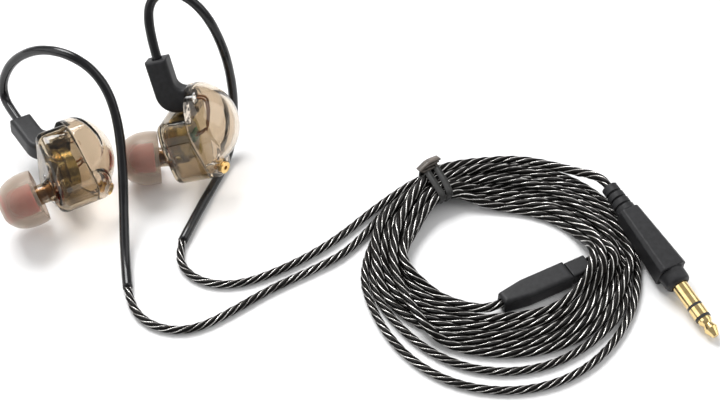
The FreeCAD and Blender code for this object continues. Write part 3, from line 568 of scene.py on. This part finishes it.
def settle(cables, rounds):
    """Lets the cables fall, keep their length, straighten and push each other apart."""
    p = np.vstack([c[2] for c in cables])
    size = np.concatenate([np.full(len(c[2]), c[1]) for c in cables])
    which = np.concatenate([np.full(len(c[2]), k) for k, c in enumerate(cables)])
    spans, start = [], 0
    for c in cables:
        spans.append((start, start + len(c[2])))
        start += len(c[2])
    n = len(p)
    index = np.arange(n)
    rest = p.copy()
    fixed, tight = np.zeros(n, bool), np.zeros(n, bool)
    for (a, b), (name, _, _) in zip(spans, cables):
        if name == "lead":
            fixed[a:a + HELD_START] = fixed[b - HELD_END:b] = True
            tight[a + LOOSE_START:b - LOOSE_END] = True
        else:
            fixed[a:b] = (p[a:b, 0] < DESK_ARM_X) | (index[a:b] >= b - HELD_ARM)
    free = (~fixed).astype(float)
    one = np.concatenate([np.arange(a, b - 1) for a, b in spans])
    two = one + 1
    mid = np.concatenate([np.arange(a + 1, b - 1) for a, b in spans])
    long = np.linalg.norm(p[two] - p[one], axis=1)
    angle = math.radians(TIE_ANGLE)
    tie_at = np.append(oval_point(TIE_ANGLE, TIE_OUT), 0)
    run = unit([-COIL_SEMI[0] * math.sin(angle), COIL_SEMI[1] * math.cos(angle), 0])
    out = np.array([run[1], -run[0], 0])

    def close_pairs():
        """Points that could touch, not counting a cable's near neighbours."""
        first, second = [], []
        for s in range(0, n, BLOCK):
            gap = np.linalg.norm(p[s:s + BLOCK, None] - p[None], axis=2)
            a, b = np.nonzero(gap < WATCHED)
            a = a + s
            ok = (b > a) & ((which[a] != which[b]) | (b - a > NEXT_ALONG))
            first.append(a[ok])
            second.append(b[ok])
        return np.concatenate(first), np.concatenate(second)

    def keep_off_fittings():
        """Pushes cables out of the splitter, the slider's travel and the plug."""
        q = p - SPLIT_AT
        u, v, w = q @ SPLIT_AXIS, q @ SPLIT_SIDE, q[:, 2]
        half = np.interp(u, *SPLIT_REACH) + size / 2 + SIDE_ROOM
        high = SPLIT_HALF_HIGH + size / 2 + ROOM
        near = (u > SPLIT_FROM) & (u < SPLIT_END) & ~fixed
        inside = near & (np.abs(v) < half) & (w < high)
        above, beside = high - w, half - np.abs(v)
        lift, push = inside & (above <= beside), inside & (above > beside)
        p[lift, 2] += above[lift] * AWAY
        p[push] += SPLIT_SIDE * (np.sign(v[push]) * beside[push] * AWAY)[:, None]
        q = p - PLUG_TIP
        u = q @ PLUG_AXIS
        off = q - PLUG_AXIS * u[:, None]
        gap = np.linalg.norm(off, axis=1)
        reach = np.interp(u, *PLUG_REACH) + size / 2 + ROOM
        inside = (u > PLUG_FROM) & (u < PLUG_END) & (gap < reach) & ~fixed
        p[inside] += off[inside] / gap[inside, None] * ((reach - gap)[inside] * AWAY)[:, None]

    def keep_in_bundle():
        """Draws stray turns of the lead back between the coil's inner and outer edge."""
        q = p[:, :2] - COIL_CENTRE
        th = np.arctan2(q[:, 1] / COIL_SEMI[1], q[:, 0] / COIL_SEMI[0])
        ray = np.stack([np.cos(th), np.sin(th)], 1)
        normal = ray / COIL_SEMI
        normal /= np.linalg.norm(normal, axis=1)[:, None]
        rho = ((q - ray * COIL_SEMI) * normal).sum(1)
        back = np.sin(th)
        low = -(EDGE_IN + WIDER_IN * back ** 2)
        high = EDGE_OUT + np.where(back > 0, WIDER_BACK, WIDER_FRONT) * back ** 2
        inner, outer = (rho < low) & tight, (rho > high) & tight
        p[inner, :2] += normal[inner] * ((low - rho)[inner] * DRAW_IN)[:, None]
        p[outer, :2] -= normal[outer] * ((rho - high)[outer] * DRAW_IN)[:, None]

    def keep_in_tie():
        """Draws the turns together where the tie goes round them."""
        q = p - tie_at
        u, a, z = q @ run, q @ out, p[:, 2]
        near = (np.abs(u) < TIE_ALONG) & (np.abs(a) < TIE_ACROSS) & ~fixed
        e = np.sqrt((a / (TIE_HALF_WIDE - size / 2)) ** 2
                    + ((z - TIE_MIDDLE) / (TIE_HALF_HIGH - size / 2)) ** 2)
        spare = near & (e > 1)
        fade = np.clip((TIE_ALONG - np.abs(u)) / TIE_FADE, 0, 1)
        f = (1 - 1 / np.maximum(e, 1e-6)) * TIE_PULL * fade
        p[spare] -= out * (a[spare] * f[spare])[:, None]
        p[spare, 2] -= (z[spare] - TIE_MIDDLE) * f[spare]

    def keep_above_desk():
        """Lifts the cables off the desk, and off the band where it runs under them."""
        u, a = (p - tie_at) @ run, (p - tie_at) @ out
        rise = np.clip((HUMP_HALF - np.abs(u)) / HUMP_FADE, 0, 1)
        ground = size / 2 + TIE_UNDER * rise * (np.abs(a) < HUMP_ACROSS)
        low = (p[:, 2] < ground) & ~fixed
        p[low, 2] = ground[low]

    for turn in range(rounds):
        if turn % WATCH_ROUNDS == 0:
            i, j = close_pairs()
        p[:, 2] -= (FALL if turn < rounds * FALL_SHARE else LAST_FALL) * free
        p[:, :2] += (rest - p)[:, :2] * RETURN * free[:, None]
        p[mid] += ((p[mid - 1] + p[mid + 1]) / 2 - p[mid]) * STRAIGHTEN * free[mid][:, None]
        for _ in range(LENGTH_PASSES):
            d = p[two] - p[one]
            l = np.linalg.norm(d, axis=1)
            share = free[one] + free[two]
            f = np.where(share > 0, (l - long) / np.maximum(l, 1e-9) / np.maximum(share, 1), 0)
            np.add.at(p, one, d * (f * free[one] * KEEP_LENGTH)[:, None])
            np.add.at(p, two, -d * (f * free[two] * KEEP_LENGTH)[:, None])
        for _ in range(PUSH_PASSES):
            d = p[j] - p[i]
            l = np.linalg.norm(d, axis=1)
            need = (size[i] + size[j]) / 2 * TOUCH
            share = free[i] + free[j]
            hit = (l < need) & (share > 0)
            a, b = i[hit], j[hit]
            f = (need - l)[hit] / np.maximum(l[hit], 1e-6) / share[hit] * PUSH
            np.add.at(p, a, -d[hit] * (f * free[a])[:, None])
            np.add.at(p, b, d[hit] * (f * free[b])[:, None])
        keep_off_fittings()
        keep_in_bundle()
        keep_in_tie()
        keep_above_desk()
    across = (p - tie_at) @ out
    at_tie = (np.abs((p - tie_at) @ run) < HOLD_HALF) & (np.abs(across) < HOLD_ACROSS)
    cut = np.stack([across[at_tie], p[at_tie, 2], size[at_tie]], 1)
    paths = {c[0]: np.vstack([p[a], p[b - 2:a:-KEEP_EACH][::-1], p[b - 1]])
             for (a, b), c in zip(spans, cables)}
    return paths, (tie_at, run, out, cut)


PATHS, TIE = settle(layout(), ROUNDS)

# ---- Cables ------------------------------------------------------------------------------------
# Length of one twist of the strands.
LAY = {"lead": 13.4, "arm_right": 10.4, "arm_left": 10.4}
RING_STEP = 0.6
STRANDS = 4
FULL = 1.06                        # strands pressed into each other by this much
THREAD_SHARE, THREAD_SUNK = 0.145, 1.5


def stranded(name, path, diameter, lay, slot, replaced):
    """Four black strands wound together with four silver threads in their grooves."""
    line_points = resample(on_spline(path), RING_STEP)
    rings = carried_frames(line_points)
    r = diameter / 2
    strand = r / (1 + math.sqrt(2)) * FULL
    thread = r * THREAD_SHARE
    parts = []
    for k in range(STRANDS):
        phase = math.pi / 2 * k
        v, f = swept(line_points, rings, strand, r - strand, lay, phase, 10)
        parts.append((v, f, 0))
        v, f = swept(line_points, rings, thread, r - thread * THREAD_SUNK, lay,
                     phase + math.pi / 4, 6)
        parts.append((v, f, 1))
    verts, faces, indices = joined(parts)
    obj = mesh_object(name, world(verts), faces, [MAT["cable_jacket"], SILVER], "set", slot,
                      replaced, indices)
    return obj, world(line_points)


arm_right, arm_right_path = stranded("cable_strands_right", PATHS["arm_right"], ARM_D,
                                     LAY["arm_right"], "cable_jacket",
                                     ("cable_arm_right", "cable_arm_starts"))
arm_left, arm_left_path = stranded("cable_strands_left", PATHS["arm_left"], ARM_D,
                                   LAY["arm_left"], "cable_jacket", ("cable_arm_left",))
lead, lead_path = stranded("cable_strands_lead", PATHS["lead"], LEAD_D, LAY["lead"],
                           "cable_jacket", ("main_lead_start", "main_lead_end", "cable_coil"))

splitter = softened("splitter", 0.16, 5)
slider = softened("chin_slider", 0.12, 3)


# ---- Ear hooks ---------------------------------------------------------------------------------
def sleeve(side):
    """Soft tube over the hook's wire, a little uneven along its length."""
    ear = ear_matrix(side)
    ends = [(0, BOOT_END - SLEEVE_GRIP, BOOT_MID), (0, BOOT_END + HOOK_LEAD, BOOT_MID)]
    route = applied(ear, ends).tolist() + HOOK[side]
    points = resample(on_spline(route), 0.7)
    s = np.linspace(0, 1, len(points))
    radius = SLEEVE_R * (1 + 0.012 * np.sin(s * 60) + 0.008 * np.sin(s * 143 + 1))
    v, f = swept(points, carried_frames(points), radius, sides=24)
    mesh_object(f"hook_tube_{side}", world(v), f, [MAT["hook_tubing"]], "set", "hook_tubing",
                (f"hook_sleeve_{side}",))


# ---- Ear tips ----------------------------------------------------------------------------------
# (radius, height above the nozzle's root) round each section
SKIRT = [(6.05, 4.0), (6.22, 5.6), (6.16, 7.4), (5.75, 9.3), (4.85, 11.0), (3.55, 12.2),
         (2.55, 12.72), (2.08, 12.55), (2.0, 12.1), (2.75, 11.75), (3.5, 11.3), (4.55, 10.0),
         (5.25, 8.6), (5.58, 7.2), (5.66, 5.6), (5.62, 4.0), (5.84, 3.86)]
STEM = [(2.75, 5.1), (3.3, 5.05), (3.42, 5.5), (3.4, 8.5), (3.42, 11.2), (3.2, 11.9), (2.4, 12.0),
        (2.05, 11.6), (2.1, 11.0), (2.7, 10.8), (2.74, 8.0)]
LINING = [(1.2, 0.2), (1.56, 0.2), (1.58, 0.6), (1.58, 8.6), (1.5, 9.0), (1.2, 9.0), (1.16, 8.6),
          (1.16, 0.6)]


def tip(side):
    """Milky skirt and the red stem inside it."""
    m = nozzle_matrix(side)
    body = f"ear_tip_{side}"
    v, f = lathe(rounded(SKIRT, 4), m)
    mesh_object(f"tip_skirt_{side}", v, f, [MAT["tip_dome_silicone"]], body,
                "tip_dome_silicone", (f"ear_tip_dome_{side}",))
    v, f = lathe(rounded(STEM, 4), m, 48)
    mesh_object(f"tip_stem_{side}", v, f, [MAT["tip_core_silicone"]], body,
                "tip_core_silicone", (f"ear_tip_core_{side}",))


for ear_side in SIDES:
    sleeve(ear_side)
    tip(ear_side)
    softened(f"faceplate_shell_{ear_side}", 0.2, 6)
    inner = softened(f"inner_shell_{ear_side}", 0.2, 7)
    inner.data.materials.clear()
    inner.data.materials.append(SMOKED_INNER)
    softened(f"cable_boot_{ear_side}", 0.2, 4)


def liner(side):
    """Copper-brown sound tube that lines the nozzle's bore."""
    v, f = lathe(rounded(LINING, 3), nozzle_matrix(side), 48)
    mesh_object(f"nozzle_liner_{side}", v, f, [LINER], "set", "voice_copper")


for ear_side in SIDES:
    liner(ear_side)

# ---- The plug ----------------------------------------------------------------------------------
handle = softened("plug_handle", 0.18, 3)
relief = softened("plug_relief", 0.1, 2)
NOSE = [(1.82, 13.95), (2.45, 13.95), (2.78, 14.35), (2.9, 15.0), (2.94, 16.2), (2.94, 17.4),
        (1.82, 17.4)]
nose = mesh_object("plug_nose", *lathe(rounded(NOSE, 4), PLUG_M, 64), [MAT["dark_moulding"]],
                   "set", "dark_moulding")


# ---- The twist tie -----------------------------------------------------------------------------
BAND_HALF, BAND_THICK, BAND_SLACK = 0.78, 0.3, 0.12
RIM_POINTS = 12
# The band is flat with a rib along its middle: (along the turns, away from them).
BAND_SECTION = [(-BAND_HALF, 0.0), (-BAND_HALF, BAND_THICK), (-0.3, BAND_THICK),
                (-0.18, BAND_THICK + 0.2), (0.0, BAND_THICK + 0.26), (0.18, BAND_THICK + 0.2),
                (0.3, BAND_THICK), (BAND_HALF, BAND_THICK), (BAND_HALF, 0.0)]
KNOT_HALF = BAND_HALF * 1.3
KNOT_SECTION = [(-KNOT_HALF, -0.2), (-KNOT_HALF, 0.2), (-0.25, 0.2), (0.0, 0.42), (0.25, 0.2),
                (KNOT_HALF, 0.2), (KNOT_HALF, -0.2)]
# The two ends' folds: (along the turns, away from the band).
FOLDS = ([(-2.2, 0.0), (0.0, 0.15), (1.9, 0.1), (2.7, 0.45), (2.2, 0.95), (0.0, 0.95),
          (-2.4, 1.15)],
         [(2.9, 0.55), (1.0, 1.5), (-0.6, 1.75), (-2.9, 1.5)])


def hull(points):
    """Outline of the flat points, as a cord pulled tight round them lies."""
    p = sorted(map(tuple, points))
    halves = []
    for run_points in (p, p[::-1]):
        chain = []
        for q in run_points:
            while len(chain) > 1 and ((chain[-1][0] - chain[-2][0]) * (q[1] - chain[-2][1])
                                      - (chain[-1][1] - chain[-2][1]) * (q[0] - chain[-2][0])) <= 0:
                chain.pop()
            chain.append(q)
        halves += chain[:-1]
    return np.array(halves)


def tie_outline(cut):
    """Line round the turns where the tie crosses them, in equal steps."""
    rim = []
    for a, z, d in cut:
        reach = d / 2 + BAND_SLACK
        for k in range(RIM_POINTS):
            t = 2 * math.pi * k / RIM_POINTS
            rim.append((a + reach * math.cos(t), max(0.05, z + reach * math.sin(t))))
    loop = hull(rim)
    closed = np.vstack([loop, loop[:1]])
    return resample(np.column_stack([closed, np.zeros(len(closed))]), 0.5)[:-1, :2]


def tie_bands(points):
    """Two ribbed bands side by side, each leaning a little."""
    at, run, out, _ = TIE
    outward = points - points.mean(0)
    outward /= np.linalg.norm(outward, axis=1)[:, None]
    n = len(points)
    parts = []
    for shift, lean in ((-0.95, 0.40), (0.85, -0.24)):
        verts = []
        for i, (q, o) in enumerate(zip(points, outward)):
            sway = shift + lean * math.sin(2 * math.pi * i / n)
            for along_run, away in BAND_SECTION:
                spot = q + o * away
                verts.append(at + out * spot[0] + UP * spot[1] + run * (along_run + sway))
        parts.append((np.array(verts), tube_faces(n, len(BAND_SECTION), True), 0))
    verts, faces, _ = joined(parts)
    return mesh_object("tie_ribbon", world(verts), faces, [MAT["tie_plastic"]], "set", "tie_plastic",
                       ("tie_band",))


def tie_knot(points):
    """The band's two ends, folded over each other on the outside of the turns."""
    at, run, out, _ = TIE
    a0, z0 = points[int(np.argmax(points[:, 0] * 0.8 + points[:, 1]))]
    base = at + out * (a0 - 0.6) + UP * (z0 + 0.45)
    across = unit(out - 0.45 * UP)
    lift = np.cross(run, across)
    lift *= np.sign(lift[2])
    parts = []
    for fold in FOLDS:
        line = resample(on_spline([(x, 0, h) for x, h in fold]), 0.25)
        verts = []
        for i, (x, _, h) in enumerate(line):
            step = line[min(i + 1, len(line) - 1)] - line[max(i - 1, 0)]
            normal = unit(-step[2] * run + step[0] * lift)
            for w, t in KNOT_SECTION:
                verts.append(base + run * x + lift * h + across * (w - 0.12 * x) + normal * t)
        parts.append((np.array(verts), tube_faces(len(line), len(KNOT_SECTION), False), 0))
    verts, faces, _ = joined(parts)
    # Painted highlight: the ends' lighter brownish-grey colour stands in for a glint on the black
    # plastic.
    return mesh_object("tie_ends", world(verts), faces, [TIE_ENDS_GLINT], "set", "tie_plastic",
                       ("tie_tails",))


tie_line = tie_outline(TIE[3])
tie_ribbon = tie_bands(tie_line)
tie_ends = tie_knot(tie_line)


# ---- Desk, light and camera --------------------------------------------------------------------
DESK_HALF, DESK_DROP = 3.0, 0.00003
LAMP_AIM = Vector((0.05, 0, 0))


def stage():
    """A pale desk, set just under the object so that the two don't flicker together."""
    mesh = bpy.data.meshes.new("desk")
    r = DESK_HALF
    mesh.from_pydata([(-r, -r, 0), (r, -r, 0), (r, r, 0), (-r, r, 0)], [], [(0, 1, 2, 3)])
    desk = bpy.data.objects.new("desk", mesh)
    desk.location.z = -DESK_DROP
    bpy.context.scene.collection.objects.link(desk)
    m, tree, shader = new_material("desk_white")
    noise = noise_of(tree, 3)
    tree.links.new(tinted(tree, noise.outputs["Fac"], (0.90, 0.90, 0.905), (0.92, 0.92, 0.92)),
                   shader.inputs["Base Color"])
    shader.inputs["Roughness"].default_value = 0.6
    shader.inputs["Specular IOR Level"].default_value = 0.2
    mesh.materials.append(m)


def lamp(name, at, size, power):
    """A soft rectangle of light, turned towards the middle of the object."""
    data = bpy.data.lights.new(name, "AREA")
    data.shape = "RECTANGLE"
    data.size, data.size_y = size
    data.energy = power
    obj = bpy.data.objects.new(name, data)
    bpy.context.scene.collection.objects.link(obj)
    obj.location = at
    obj.rotation_euler = (LAMP_AIM - Vector(at)).to_track_quat("-Z", "Y").to_euler()


stage()
lamp("key", (-0.22, 0.52, 0.78), (0.55, 0.42), 10.0)
lamp("fill", (0.75, 0.10, 0.60), (0.9, 0.9), 3.4)
lamp("left", (-0.70, -0.10, 0.50), (0.8, 0.8), 2.6)
world_data = bpy.data.worlds.new("studio")
world_data.use_nodes = True
background = world_data.node_tree.nodes["Background"]
background.inputs["Color"].default_value = (1, 1, 1, 1)
background.inputs["Strength"].default_value = 0.33
bpy.context.scene.world = world_data
bpy.context.scene.view_settings.view_transform = "Standard"

ELEVATION, DISTANCE, LENS, SENSOR = math.radians(50), 0.325, 70, 36
camera_data = bpy.data.cameras.new("camera")
camera_data.lens = LENS
camera_data.sensor_width = SENSOR
camera_data.clip_start = 0.01
camera = bpy.data.objects.new("camera", camera_data)
bpy.context.scene.collection.objects.link(camera)
target = Vector(tuple(world([(0, 0, 0)])[0]))
camera.location = target + Vector((0, -math.cos(ELEVATION), math.sin(ELEVATION))) * DISTANCE
camera.rotation_euler = (math.pi / 2 - ELEVATION, 0, 0)
bpy.context.scene.camera = camera
